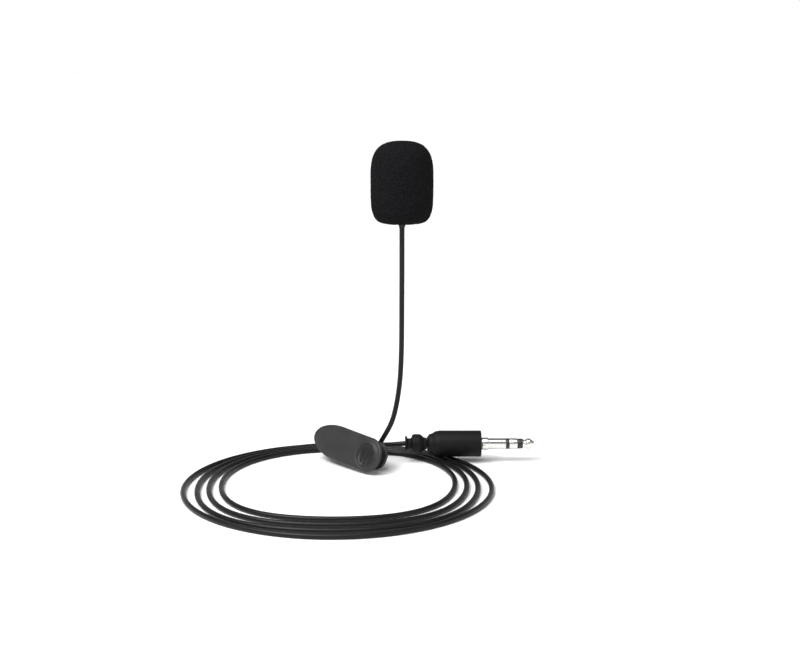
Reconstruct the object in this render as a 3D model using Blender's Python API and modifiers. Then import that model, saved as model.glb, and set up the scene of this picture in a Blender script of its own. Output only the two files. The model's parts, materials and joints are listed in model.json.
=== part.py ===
"""Lavalier microphone: a foam-covered head on a thin cord, a sprung tie clip that holds the
cord, the cord's loose round coil, and a 3.5 mm three-contact plug.

Metres, +Z up. The origin is on the surface that it stands on, under the middle of the head
and the clip. Everything is placed from the middle of the coil, which is the empty "coil_middle".
"""

import math

import bmesh
import bpy
from mathutils import Matrix, Vector

MM = 0.001
GAP = 0.3 * MM  # between pieces that meet
FINE = 0.12 * MM  # between the thin coaxial tubes of the plug

# Where the middle of the coil lies from the origin
COIL_MIDDLE = Vector((-10.1, -24.6, 0.0)) * MM

# Coil: the outermost and the innermost of its turns, which aren't concentric
CORD_R = 0.8 * MM
WIRE_R = 0.22 * MM  # each of the two wires inside it
COIL_OUTER_R = 46.4 * MM
COIL_INNER_R = 35.4 * MM
COIL_INNER_SHIFT = 5.6 * MM

# Head and windscreen, heights from the surface
HEAD_AT = Vector((19.3, 21.0, 0.0)) * MM
FOAM_R = 9.55 * MM
FOAM_BOTTOM = 78.1 * MM
FOAM_TOP = 102.9 * MM
FOAM_WIDEST = 90.0 * MM
FOAM_FOOT_R = 5.0 * MM  # of the flat ring that the windscreen's side curves in to
HEAD_BOTTOM = FOAM_BOTTOM + 0.6 * MM
HEAD_LENGTH = 17.0 * MM
BARREL_R = 3.8 * MM
BARREL_WALL = 0.5 * MM
CAN_R = 2.5 * MM

# Clip: local X runs from the mouth to the tail, Y across it, Z out of the front jaw
CLIP_AT = Vector((-7.35, 36.0, 7.27)) * MM
CLIP_YAW = math.radians(45.0)
CLIP_DIP = math.radians(4.5)
CLIP_LEAN = math.radians(22.0)
FRONT_LENGTH = 31.3 * MM
FRONT_HALF = 5.5 * MM  # half its width, and the radius of its tail
FRONT_AT = Vector((-0.8, -0.35)) * MM  # its mouth's end, in the clip's frame
MOUTH_LENGTH = 12.0 * MM  # over which the jaws narrow to a rounded point
REAR_LENGTH = 28.0 * MM
REAR_TAIL_R = 4.4 * MM
REAR_HALF = 4.1 * MM
HINGE_X = 12.5 * MM
PIN_R = 0.5 * MM
LUG_R = 1.25 * MM
LUG_T = 0.8 * MM
REAR_LUG_Y = 2.95 * MM
FRONT_LUG_Y = 1.85 * MM
DISH_AT = Vector((24.8, -0.6)) * MM
DISH_R = 3.7 * MM
DISH_DEPTH = 0.75 * MM
KEEPER_AT = Vector((18.9, 0.4, -5.25)) * MM
KEEPER_TURN = math.radians(50.0)
KEEPER_LENGTH = 5.4 * MM

# Plug: its axis runs along +X. The numbers below are in millimetres, as in its profiles, and
# distances along it are from the back of its strain relief
PLUG_AT = Vector((20.3, 29.8, 5.95)) * MM
PLUG_R = 4.2
BOOT_END = 6.7
BODY_START = 7.0
NECK_R = 1.95  # where these two meet
BODY_END = 24.4
CAVITY_START = 10.5  # of the hollow round the contacts
CAVITY_END = 21.5
CONTACT_R = 1.75  # of the 3.5 mm pin
STEP_LENGTH = 2.0  # of the raised step at the back of the pin
SLEEVE_END = 32.3
RING_START = 33.35
RING_END = 35.95
TIP_START = 37.6


def clear_scene():
    for obj in list(bpy.data.objects):
        bpy.data.objects.remove(obj, do_unlink=True)


clear_scene()
PARTS = bpy.data.collections.new("lavalier_microphone")
CUTTERS = bpy.data.collections.new("cutters")
bpy.context.scene.collection.children.link(PARTS)
bpy.context.scene.collection.children.link(CUTTERS)


# ---------------------------------------------------------------- helpers


def material(name, colour, roughness, metallic=0.0):
    made = bpy.data.materials.new(name)
    made.use_nodes = True
    shader = made.node_tree.nodes["Principled BSDF"]
    shader.inputs["Base Color"].default_value = (*colour, 1.0)
    shader.inputs["Roughness"].default_value = roughness
    shader.inputs["Metallic"].default_value = metallic
    return made


def place(obj, parent=None, at=(0, 0, 0), turn=(0, 0, 0), cutter=False):
    """Links an object to its collection and puts it in its parent's frame."""
    (CUTTERS if cutter else PARTS).objects.link(obj)
    obj.parent = parent
    obj.location = at
    obj.rotation_euler = turn
    if cutter:
        obj.hide_render = True
        obj.display_type = "WIRE"
    return obj


def empty(name, parent=None, matrix=None):
    obj = bpy.data.objects.new(name, None)
    PARTS.objects.link(obj)
    obj.parent = parent
    obj.matrix_local = matrix or Matrix()
    return obj


def finish(obj, mat, sharp=35.0):
    """Gives an object its material, and shades it smooth across its shallow edges."""
    obj.data.materials.clear()
    obj.data.materials.append(mat)
    obj.data.shade_smooth()
    obj.data.set_sharp_from_angle(angle=math.radians(sharp))
    return obj


def turned(name, profile, steps=24, **where):
    """A solid turned round its local Z. The profile is (radius, height) pairs, which run down
    the outer side. It closes on itself if it doesn't start and end on the axis."""
    on_axis = profile[0][0] == 0.0 and profile[-1][0] == 0.0
    points = [(r, 0.0, z) for r, z in profile]
    edges = [(i, i + 1) for i in range(len(points) - 1)]
    if not on_axis:
        edges.append((len(points) - 1, 0))
    mesh = bpy.data.meshes.new(name)
    mesh.from_pydata(points, edges, [])
    obj = place(bpy.data.objects.new(name, mesh), **where)
    screw = obj.modifiers.new("turn", "SCREW")
    screw.axis = "Z"
    screw.angle = math.tau
    screw.steps = steps
    screw.render_steps = steps
    screw.use_merge_vertices = True
    screw.merge_threshold = 0.00001
    return applied(obj)


def applied(obj):
    """Replaces an object's mesh by its evaluated one, and drops its modifiers."""
    graph = bpy.context.evaluated_depsgraph_get()
    graph.update()
    mesh = bpy.data.meshes.new_from_object(obj.evaluated_get(graph))
    obj.modifiers.clear()
    obj.data = mesh
    return obj


def as_mesh(curve, **where):
    """Turns a curve into a mesh object of the same name, with its caps welded on."""
    bpy.context.scene.collection.objects.link(curve)
    graph = bpy.context.evaluated_depsgraph_get()
    graph.update()
    mesh = bpy.data.meshes.new_from_object(curve.evaluated_get(graph))
    work = bmesh.new()
    work.from_mesh(mesh)
    bmesh.ops.remove_doubles(work, verts=work.verts, dist=0.000001)
    work.to_mesh(mesh)
    work.free()
    name = curve.name
    bpy.data.objects.remove(curve, do_unlink=True)
    mesh.name = name
    return place(bpy.data.objects.new(name, mesh), **where)


def plate(name, outline, thickness, **where):
    """A flat plate of this outline in local XY, centred on z = 0."""
    curve = bpy.data.curves.new(name, "CURVE")
    curve.dimensions = "2D"
    curve.fill_mode = "BOTH"
    curve.extrude = thickness / 2
    spline = curve.splines.new("POLY")
    spline.points.add(len(outline) - 1)
    for point, (x, y) in zip(spline.points, outline):
        point.co = (x, y, 0.0, 1.0)
    spline.use_cyclic_u = True
    return as_mesh(bpy.data.objects.new(name, curve), **where)


def rod(name, radius, length, steps=24, **where):
    """A plain cylinder centred on its place, along local Z."""
    half = length / 2
    return turned(name, [(0.0, half), (radius, half), (radius, -half), (0.0, -half)], steps, **where)


def block(name, size, **where):
    """A box of this size, centred on its place."""
    half = [s / 2 for s in size]
    corners = [(-half[0], -half[1]), (half[0], -half[1]), (half[0], half[1]), (-half[0], half[1])]
    return plate(name, corners, size[2], **where)


def boolean(obj, other, operation):
    step = obj.modifiers.new(operation.lower(), "BOOLEAN")
    step.operation = operation
    step.object = other
    return obj


def bevel(obj, width, segments=2, angle=35.0):
    step = obj.modifiers.new("bevel", "BEVEL")
    step.width = width
    step.segments = segments
    step.limit_method = "ANGLE"
    step.angle_limit = math.radians(angle)
    return obj


def arc(middle, radius, start, end, count):
    """Points on an arc in a plane, from one angle in degrees to another."""
    angles = [math.radians(start + (end - start) * i / count) for i in range(count + 1)]
    return [(middle[0] + radius * math.cos(a), middle[1] + radius * math.sin(a)) for a in angles]


def smooth_route(points, spacing):
    """Evenly spaced points on the Catmull-Rom curve through a route's points."""
    ends = [points[0] * 2 - points[1], *points, points[-1] * 2 - points[-2]]
    fine = []
    for a, b, c, d in zip(ends, ends[1:], ends[2:], ends[3:]):
        for i in range(12):
            t = i / 12
            fine.append(
                0.5 * (2 * b + (c - a) * t + (2 * a - 5 * b + 4 * c - d) * t * t
                       + (3 * b - a - 3 * c + d) * t * t * t)
            )
    fine.append(points[-1])
    run = [0.0]
    for a, b in zip(fine, fine[1:]):
        run.append(run[-1] + (b - a).length)
    count = max(2, round(run[-1] / spacing))
    found, k = [], 0
    for i in range(count + 1):
        want = run[-1] * i / count
        while k < len(run) - 2 and run[k + 1] < want:
            k += 1
        share = (want - run[k]) / max(run[k + 1] - run[k], 1e-9)
        found.append(fine[k].lerp(fine[k + 1], min(max(share, 0.0), 1.0)))
    return found


def tube(name, points, radius, mat, parent=None):
    """A round wire along these points, with flat ends."""
    curve = bpy.data.curves.new(name, "CURVE")
    curve.dimensions = "3D"
    curve.bevel_depth = radius
    curve.bevel_resolution = 2
    curve.use_fill_caps = True
    spline = curve.splines.new("POLY")
    spline.points.add(len(points) - 1)
    for point, co in zip(spline.points, points):
        point.co = (*co, 1.0)
    curve.materials.append(mat)
    return place(bpy.data.objects.new(name, curve), parent=parent)


# ---------------------------------------------------------------- materials

FOAM = material("foam_charcoal", (0.016, 0.016, 0.018), 0.95)
BLACK_METAL = material("black_coated_metal", (0.03, 0.03, 0.032), 0.4, 0.6)
STEEL = material("steel", (0.55, 0.55, 0.56), 0.3, 1.0)
ALUMINIUM = material("aluminium_can", (0.75, 0.75, 0.76), 0.35, 1.0)
FELT = material("felt_black", (0.02, 0.02, 0.02), 1.0)
FILM = material("film_gold", (0.8, 0.6, 0.25), 0.3, 1.0)
BOARD = material("board_green", (0.02, 0.15, 0.06), 0.5)
CHIP = material("chip_black", (0.01, 0.01, 0.01), 0.4)
RUBBER = material("rubber_black", (0.015, 0.015, 0.016), 0.7)
CLIP_PLASTIC = material("clip_plastic_black", (0.045, 0.045, 0.047), 0.45)
CORD_PVC = material("cord_pvc_black", (0.03, 0.03, 0.032), 0.5)
PLUG_RUBBER = material("plug_moulding_black", (0.02, 0.02, 0.021), 0.6)
NICKEL = material("nickel", (0.75, 0.74, 0.72), 0.2, 1.0)
INSULATOR = material("insulator_black", (0.012, 0.012, 0.012), 0.35)
RED_WIRE = material("wire_red", (0.5, 0.02, 0.02), 0.5)
COPPER = material("wire_copper", (0.72, 0.4, 0.22), 0.35, 1.0)


# ---------------------------------------------------------------- windscreen and head


def foam_profile():
    """The windscreen's barrel shape: round shoulders above its widest place, a squarer foot."""
    steps = 9
    points = [(0.0, FOAM_TOP)]
    for i in range(1, steps + 1):
        share = math.sin(math.pi / 2 * (1 - i / steps))
        points.append((FOAM_R * (1 - share**3.6) ** 0.36, FOAM_WIDEST + (FOAM_TOP - FOAM_WIDEST) * share))
    for i in range(1, steps):
        share = math.sin(math.pi / 2 * i / steps)
        radius = FOAM_FOOT_R + (FOAM_R - FOAM_FOOT_R) * (1 - share**4) ** 0.38
        points.append((radius, FOAM_WIDEST - (FOAM_WIDEST - FOAM_BOTTOM) * share))
    bore = BARREL_R + GAP
    points.append((FOAM_FOOT_R, FOAM_BOTTOM))
    points.append((bore, FOAM_BOTTOM))
    head_top = HEAD_BOTTOM + HEAD_LENGTH + GAP
    return points + [(bore, head_top), (0.0, head_top)]


def make_windscreen(head):
    finish(turned("foam_windscreen", foam_profile(), 28, parent=head), FOAM)


def make_capsule(head):
    """The electret capsule, from its rubber boot inwards."""
    low, high = HEAD_BOTTOM + 9.8 * MM, HEAD_BOTTOM + 13.8 * MM
    boot_in, boot_out = CAN_R + 0.2 * MM, CAN_R + 0.6 * MM
    boot = [(boot_out, high), (boot_out, low - 0.2 * MM), (boot_in, low - 0.2 * MM), (boot_in, high)]
    finish(turned("capsule_boot", boot, parent=head), RUBBER)

    wall, port = 0.25 * MM, 0.45 * MM
    can = [(port, high), (CAN_R, high), (CAN_R, low), (CAN_R - wall, low)]
    can += [(CAN_R - wall, high - 0.3 * MM), (port, high - 0.3 * MM)]
    finish(turned("capsule_can", can, parent=head), ALUMINIUM)

    rim, film, top = 2.0 * MM, 1.6 * MM, high - 0.5 * MM
    ring = [(0.0, top - 0.2 * MM), (film, top - 0.2 * MM), (film, top), (rim, top)]
    ring += [(rim, top - 0.35 * MM), (0.0, top - 0.35 * MM)]
    finish(turned("diaphragm_ring", ring, parent=head), FILM)

    plate_at = top - 0.8 * MM
    back = rod("back_plate", 1.9 * MM, 0.4 * MM, parent=head, at=(0, 0, plate_at))
    for i in range(6):
        x, y = 1.1 * MM * math.cos(math.tau * i / 6), 1.1 * MM * math.sin(math.tau * i / 6)
        hole = rod(f"back_plate_hole_{i}", 0.22 * MM, 1.0 * MM, 12,
                   parent=head, at=(x, y, plate_at), cutter=True)
        boolean(back, hole, "DIFFERENCE")
    finish(back, STEEL)

    board_at = HEAD_BOTTOM + 10.85 * MM
    finish(rod("capsule_board", 2.0 * MM, 0.5 * MM, parent=head, at=(0, 0, board_at)), BOARD)
    chip_size = (1.4 * MM, 1.0 * MM, 0.55 * MM)
    chip = block("amplifier_chip", chip_size, parent=head, at=(0, 0, board_at + 0.8 * MM))
    finish(bevel(chip, 0.08 * MM), CHIP)


def make_head_shell(head):
    """The barrel with its perforated grille, dust felt and tail cap."""
    top = HEAD_BOTTOM + HEAD_LENGTH
    inner = BARREL_R - BARREL_WALL
    low, high = HEAD_BOTTOM + 1.7 * MM, top - 1.4 * MM
    barrel = [(BARREL_R, high), (BARREL_R, low), (inner, low), (inner, high)]
    finish(turned("head_barrel", barrel, 28, parent=head), BLACK_METAL)

    spigot = inner - 0.2 * MM
    grille = turned(
        "front_grille",
        [(0.0, top), (BARREL_R - 0.4 * MM, top), (BARREL_R, top - 0.4 * MM), (BARREL_R, high + GAP),
         (spigot, high + GAP), (spigot, high - 0.5 * MM), (0.0, high - 0.5 * MM)],
        28, parent=head,
    )
    for i in range(7):
        ring = 0.0 if i == 6 else 1.8 * MM
        x, y = ring * math.cos(math.tau * i / 6), ring * math.sin(math.tau * i / 6)
        hole = rod(f"grille_hole_{i}", 0.5 * MM, 6 * MM, 12, parent=head, at=(x, y, top), cutter=True)
        boolean(grille, hole, "DIFFERENCE")
    finish(grille, BLACK_METAL)
    felt_at = high - 0.5 * MM - 0.5 * MM
    finish(rod("dust_felt", 3.0 * MM, 0.4 * MM, parent=head, at=(0, 0, felt_at)), FELT)

    hole = 1.2 * MM
    cap = [(BARREL_R, HEAD_BOTTOM + 1.4 * MM), (BARREL_R, HEAD_BOTTOM + 0.4 * MM)]
    cap += [(BARREL_R - 0.4 * MM, HEAD_BOTTOM), (hole, HEAD_BOTTOM), (hole, HEAD_BOTTOM + 3.0 * MM)]
    cap += [(spigot, HEAD_BOTTOM + 3.0 * MM), (spigot, HEAD_BOTTOM + 1.4 * MM)]
    finish(turned("head_tail_cap", cap, 28, parent=head), BLACK_METAL)


def make_head_cable_end(head):
    """The rubber strain relief under the head, and the two wires up to the capsule."""
    z = HEAD_BOTTOM
    relief = [(0.0, z + 4.0 * MM), (1.8 * MM, z + 4.0 * MM), (1.8 * MM, z + 3.3 * MM)]
    relief += [(0.95 * MM, z + 3.3 * MM)]
    relief += [(0.95 * MM, z - 0.3 * MM), (1.45 * MM, z - 0.3 * MM), (1.4 * MM, z - 0.9 * MM)]
    relief += [(1.0 * MM, z - 1.5 * MM), (0.9 * MM, z - 2.2 * MM), (0.0, z - 2.2 * MM)]
    finish(turned("head_strain_relief", relief, 20, parent=head), RUBBER)
    for name, side, mat in (("head_signal_wire", 1, RED_WIRE), ("head_shield_wire", -1, COPPER)):
        x = side * 0.8 * MM
        bow = side * 1.3 * MM
        route = [Vector((x, 0, z + 4.3 * MM)), Vector((bow, 0.3 * MM, z + 6.0 * MM)),
                 Vector((bow, -0.3 * MM, z + 8.2 * MM)), Vector((x, 0, z + 10.2 * MM))]
        tube(name, smooth_route(route, 0.8 * MM), WIRE_R, mat, head)


# ---------------------------------------------------------------- clip


def clip_matrix():
    """The clip stands on its long edge and leans back, with its mouth away from the viewer."""
    along = Vector((math.cos(CLIP_YAW) * math.cos(CLIP_DIP), -math.sin(CLIP_YAW) * math.cos(CLIP_DIP),
                    -math.sin(CLIP_DIP)))
    upright = (Vector((0, 0, 1)) - along * along.z).normalized()
    facing = along.cross(upright)
    across = upright * math.cos(CLIP_LEAN) - facing * math.sin(CLIP_LEAN)
    out = along.cross(across)
    turn = Matrix((along, across, out)).transposed().to_4x4()
    return Matrix.Translation(CLIP_AT) @ turn


def paddle_outline(length, tail_r, half):
    """A jaw seen from the front: a round tail, straight sides and half an ellipse as its mouth."""
    tail = arc((length - tail_r, 0), tail_r, -90, 90, 14)
    mouth = [(MOUTH_LENGTH - MOUTH_LENGTH * math.sin(math.radians(a)), half * math.cos(math.radians(a)))
             for a in range(0, 181, 12)]
    return tail + mouth


def jaw(name, outline, side, parent):
    """A jaw is its outline cut to its side view."""
    made = plate(name, outline, 14 * MM, parent=parent)
    cutter = plate(name + "_side", side, 14 * MM, parent=parent, turn=(math.pi / 2, 0, 0), cutter=True)
    return boolean(made, cutter, "INTERSECT")


def lug(name, y, reach, parent, **kind):
    """A hinge lug round the pin, which reaches back to its jaw at z = reach."""
    sign = 1 if reach > 0 else -1
    outline = arc((0, 0), LUG_R, 180 if sign > 0 else 0, 360 if sign > 0 else 180, 10)
    outline += [(sign * LUG_R, reach), (-sign * LUG_R, reach)]
    return plate(name, outline, LUG_T, parent=parent, at=(0, y, 0), turn=(math.pi / 2, 0, 0), **kind)


def add_lugs(obj, y, reach, parent, offset):
    """Joins two lugs to a jaw and drills both for the pin."""
    for side in (-1, 1):
        piece = lug(f"{obj.name}_lug_{side}", side * y, reach, parent, cutter=True)
        piece.location.x = offset
        boolean(obj, piece, "UNION")
    hole = rod(obj.name + "_pin_hole", PIN_R + 0.15 * MM, 12 * MM, 16, parent=parent,
               at=(offset, 0, 0), turn=(math.pi / 2, 0, 0), cutter=True)
    boolean(obj, hole, "DIFFERENCE")


def make_rear_jaw(clip):
    outline = paddle_outline(REAR_LENGTH, REAR_TAIL_R, REAR_HALF)
    side = [(-1.0, -0.55), (8.6, -0.55), (10.6, -1.6), (29.0, -2.7), (29.0, -3.6), (27.0, -3.75),
            (12.0, -2.8), (6.0, -2.4), (-1.0, -1.6)]
    made = jaw("clip_rear_jaw", outline, [(x * MM, z * MM) for x, z in side], clip)
    add_lugs(made, REAR_LUG_Y, -2.2 * MM, clip, HINGE_X)
    keeper = block("keeper_block", (KEEPER_LENGTH, 3.8 * MM, 3.6 * MM), parent=clip,
                   at=KEEPER_AT + Vector((0, 0, 0.3 * MM)), turn=(0, 0, KEEPER_TURN), cutter=True)
    boolean(made, bevel(keeper, 0.5 * MM), "UNION")
    bore = rod("keeper_bore", CORD_R + 0.2 * MM, 12 * MM, 16, parent=clip,
               at=KEEPER_AT, turn=(0, math.pi / 2, KEEPER_TURN), cutter=True)
    slot = block("keeper_slot", (12 * MM, 1.1 * MM, 3 * MM), parent=clip,
                 at=KEEPER_AT - Vector((0, 0, 1.6 * MM)), turn=(0, 0, KEEPER_TURN), cutter=True)
    boolean(made, bore, "DIFFERENCE")
    boolean(made, slot, "DIFFERENCE")
    finish(made, CLIP_PLASTIC)


def make_front_jaw(hinge):
    """The front jaw is modelled from its hinge pin, so that it turns about its own origin."""
    outline = [(x + FRONT_AT.x - HINGE_X, y + FRONT_AT.y)
               for x, y in paddle_outline(FRONT_LENGTH, FRONT_HALF, FRONT_HALF)]
    side = [(-1.5, 0.3), (9.0, 0.3), (11.0, 1.5), (31.5, 1.9), (31.5, 2.5), (29.0, 3.0),
            (22.0, 3.15), (14.0, 3.0), (6.0, 2.6), (-1.5, 2.0)]
    made = jaw("clip_front_jaw", outline, [(x * MM - HINGE_X, z * MM) for x, z in side], hinge)
    add_lugs(made, FRONT_LUG_Y, 2.2 * MM, hinge, 0.0)
    for i in range(3):
        x = (1.8 + 1.9 * i) * MM - HINGE_X
        outline = [(x - 0.5 * MM, 0.6 * MM), (x, -0.2 * MM), (x + 0.5 * MM, 0.6 * MM)]
        width = (3.2 + 1.2 * i) * MM
        tooth = plate(f"tooth_{i}", outline, width, parent=hinge, turn=(math.pi / 2, 0, 0), cutter=True)
        boolean(made, tooth, "UNION")
    ball = (DISH_R**2 + DISH_DEPTH**2) / (2 * DISH_DEPTH)
    surface = 3.1 * MM
    cap = [(0.0, surface + 2 * MM), (DISH_R + 1.2 * MM, surface + 2 * MM), (DISH_R, surface)]
    cap += [(math.sqrt(ball**2 - (ball - DISH_DEPTH + d) ** 2), surface - d)
            for d in (DISH_DEPTH * k / 5 for k in range(1, 5))]
    cap.append((0.0, surface - DISH_DEPTH))
    dish = turned("thumb_dish", cap, 28, parent=hinge, at=(DISH_AT.x - HINGE_X, DISH_AT.y, 0), cutter=True)
    boolean(made, dish, "DIFFERENCE")
    for i in range(3):
        x = DISH_AT.x - HINGE_X + (i - 1) * 1.7 * MM
        length = (4.0, 4.8, 4.0)[i] * MM
        rib = rod(f"dish_rib_{i}", 0.32 * MM, length, 12, parent=hinge,
                  at=(x, DISH_AT.y, surface - DISH_DEPTH + 0.05 * MM), turn=(math.pi / 2, 0, 0), cutter=True)
        boolean(made, rib, "UNION")
    finish(made, CLIP_PLASTIC)


def make_pin_and_spring(clip):
    half = REAR_LUG_Y + LUG_T / 2 + 0.35 * MM
    head = PIN_R + 0.35 * MM
    shape = [(0.0, half + 0.4 * MM), (head, half + 0.4 * MM), (head, half), (PIN_R, half)]
    shape += [(PIN_R, -half), (head, -half), (head, -half - 0.4 * MM), (0.0, -half - 0.4 * MM)]
    pin = turned("clip_hinge_pin", shape, 20, parent=clip, at=(HINGE_X, 0, 0), turn=(math.pi / 2, 0, 0))
    finish(pin, STEEL)

    wire, coil_r, turns, pitch = 0.18 * MM, 0.9 * MM, 3.5, 0.56 * MM
    count = 42
    points = [Vector((HINGE_X + 8.5 * MM, -turns / 2 * pitch, 1.3 * MM)),
              Vector((HINGE_X + 4.0 * MM, -turns / 2 * pitch, 1.15 * MM))]
    for i in range(count + 1):
        angle = math.radians(80 - 360 * turns * i / count)
        y = (i / count - 0.5) * turns * pitch
        points.append(Vector((HINGE_X + coil_r * math.cos(angle), y, coil_r * math.sin(angle))))
    points += [Vector((HINGE_X + 4.0 * MM, turns / 2 * pitch, -1.45 * MM)),
               Vector((HINGE_X + 8.5 * MM, turns / 2 * pitch, -1.7 * MM))]
    tube("clip_spring", points, wire, STEEL, clip)


# ---------------------------------------------------------------- cord


def make_cord(base, clip_frame):
    """The lead from the head through the clip, the coil's outer shape, and the lead to the plug."""
    start = HEAD_BOTTOM - 2.5 * MM
    reach = Vector((math.cos(KEEPER_TURN), math.sin(KEEPER_TURN), 0)) * (KEEPER_LENGTH / 2 + 0.4 * MM)
    above = [(19.3, 21.0, 64.0), (19.25, 21.0, 52.0), (19.2, 21.0, 42.0), (19.0, 21.1, 34.0),
             (18.5, 21.3, 27.0), (17.5, 21.7, 20.4), (16.0, 22.3, 14.8), (13.45, 23.65, 9.6)]
    keeper = [clip_frame @ (KEEPER_AT + reach * side) for side in (1, 0, -1)]
    below = [(5.6, 28.4, 1.35), (3.9, 31.3, 0.85), (4.6, 34.6, 0.85), (7.6, 37.0, 0.85)]
    route = [Vector((HEAD_AT.x, HEAD_AT.y, start)), *(Vector(p) * MM for p in above)]
    route += [*keeper, *(Vector(p) * MM for p in below)]
    tube("cord_head_lead", smooth_route(route, 4 * CORD_R), CORD_R, CORD_PVC, base)

    height = 2 * CORD_R
    coil = rod("cord_coil", COIL_OUTER_R + CORD_R, height, 64, parent=base, at=(0, 0, CORD_R))
    middle = rod("coil_inside", COIL_INNER_R - CORD_R, 4 * height, 64, parent=base,
                 at=(0, COIL_INNER_SHIFT, 0), cutter=True)
    boolean(coil, middle, "DIFFERENCE")
    finish(coil, CORD_PVC)

    tail = [(0.0, 45.0, 2.75), (3.5, 43.3, 2.7), (7.5, 40.4, 3.0), (11.5, 36.2, 3.8), (15.6, 31.6, 5.1)]
    route = [Vector(p) * MM for p in tail] + [PLUG_AT + Vector((-0.3 * MM, 0, 0))]
    tube("cord_plug_lead", smooth_route(route, 4 * CORD_R), CORD_R, CORD_PVC, base)


# ---------------------------------------------------------------- plug


def along(pairs):
    """A turned profile given as (distance along the plug, radius) in millimetres. The plug's
    front is the top of the turned piece."""
    return [(r * MM, s * MM) for s, r in reversed(pairs)]


def make_plug_covers(plug):
    """The ribbed strain relief and the moulded body, which is hollow round the contacts."""
    boot = [(0.0, 0.0), (0.0, 2.4), (0.65, 2.4), (0.8, 1.7), (1.9, 1.7), (2.3, 2.8), (3.0, 3.05),
            (4.7, 3.05), (5.4, 2.6), (BOOT_END - 0.6, NECK_R), (BOOT_END, NECK_R), (BOOT_END, 0.0)]
    finish(turned("plug_strain_relief", along(boot), 28, parent=plug), PLUG_RUBBER)
    outer = [(BODY_START, NECK_R), (7.7, 3.0), (8.8, 3.35), (9.6, 3.9), (11.0, PLUG_R)]
    outer += [(BODY_END - 0.2, PLUG_R), (BODY_END, PLUG_R - 0.2)]
    inner = [(BODY_END, 1.95), (CAVITY_END, 1.95), (CAVITY_END, 3.0), (CAVITY_START, 3.0)]
    inner += [(CAVITY_START - 1.0, 1.0), (BODY_START, 1.0)]
    profile = along(outer) + [(r * MM, s * MM) for s, r in reversed(inner)]
    finish(turned("plug_body", profile, 32, parent=plug), PLUG_RUBBER)


def make_contacts(plug):
    """The pin's coaxial contacts. Each inner one runs further back than the one round it."""
    back, step = 18.8, BODY_END + 0.3
    sleeve = [(back, 2.6), (back + 1.4, 2.6), (back + 1.4, CONTACT_R), (step, CONTACT_R), (step, 2.0),
              (step + STEP_LENGTH, 2.0), (step + STEP_LENGTH, CONTACT_R), (SLEEVE_END, CONTACT_R)]
    inner = [(SLEEVE_END, 1.42), (back, 1.42)]
    profile = along(sleeve) + [(r * MM, s * MM) for s, r in reversed(inner)]
    finish(turned("jack_sleeve", profile, 28, parent=plug), NICKEL)

    gap = FINE / MM
    bands = (
        ("jack_insulator_rear", SLEEVE_END + gap, RING_START, 1.72, 1.12, 1.30, 18.0, INSULATOR),
        ("jack_ring", RING_START + gap, RING_END, CONTACT_R, 0.80, 1.00, 16.8, NICKEL),
        ("jack_insulator_front", RING_END + gap, TIP_START, 1.60, 0.47, 0.68, 15.6, INSULATOR),
    )
    for name, start, end, radius, bore, shank, back, mat in bands:
        outer = [(back, shank), (start, shank), (start, radius), (end, radius)]
        profile = along(outer) + [(bore * MM, back * MM), (bore * MM, end * MM)]
        finish(turned(name, profile, 28, parent=plug), mat)
    tip_at = TIP_START + gap
    tip = [(14.2, 0.0), (14.2, 0.35), (tip_at, 0.35), (tip_at, 1.45), (tip_at + 0.7, 1.2),
           (tip_at + 1.5, 1.7), (tip_at + 2.3, 1.7), (tip_at + 3.6, 0.75), (tip_at + 4.0, 0.0)]
    finish(turned("jack_tip", along(tip), 28, parent=plug), NICKEL)


def make_plug_wires(plug):
    """The cord's two wires inside the plug, from its strain relief to the contacts."""
    signal = [(0.45, 0.0, 8.0), (0.5, 0.3, 10.5), (0.2, 0.2, 12.5), (0.0, 0.0, 13.9)]
    shield = [(-0.45, 0.0, 8.0), (-0.55, -0.2, 9.6), (-1.6, 0.0, 12.4), (-2.1, 0.0, 15.4), (-2.1, 0.0, 18.5)]
    for name, points, mat in (("plug_signal_wire", signal, RED_WIRE), ("plug_shield_wire", shield, COPPER)):
        tube(name, smooth_route([Vector(p) * MM for p in points], 1.0 * MM), WIRE_R, mat, plug)


# ---------------------------------------------------------------- assembly


def main():
    base = empty("coil_middle", matrix=Matrix.Translation(COIL_MIDDLE))
    head = empty("head_axis", base, Matrix.Translation(HEAD_AT))
    frame = clip_matrix()
    clip = empty("clip_frame", base, frame)
    hinge = empty("clip_hinge_axis", clip, Matrix.Translation((HINGE_X, 0, 0)))
    plug = empty("plug_axis", base, Matrix.Translation(PLUG_AT) @ Matrix.Rotation(math.pi / 2, 4, "Y"))
    bpy.context.view_layer.update()
    make_windscreen(head)
    make_head_shell(head)
    make_capsule(head)
    make_head_cable_end(head)
    make_rear_jaw(clip)
    make_front_jaw(hinge)
    make_pin_and_spring(clip)
    make_cord(base, frame)
    make_plug_covers(plug)
    make_contacts(plug)
    make_plug_wires(plug)


main()
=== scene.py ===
"""Lavalier microphone: the looks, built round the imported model.

Metres, +Z up, in the model's own frame. Places come from the frame. Outlines and profiles are
in millimetres, in the frame of the sub-part that they belong to.
"""

import json
import math

import bmesh
import bpy
import numpy as np
from mathutils import Matrix, Vector, noise


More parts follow.
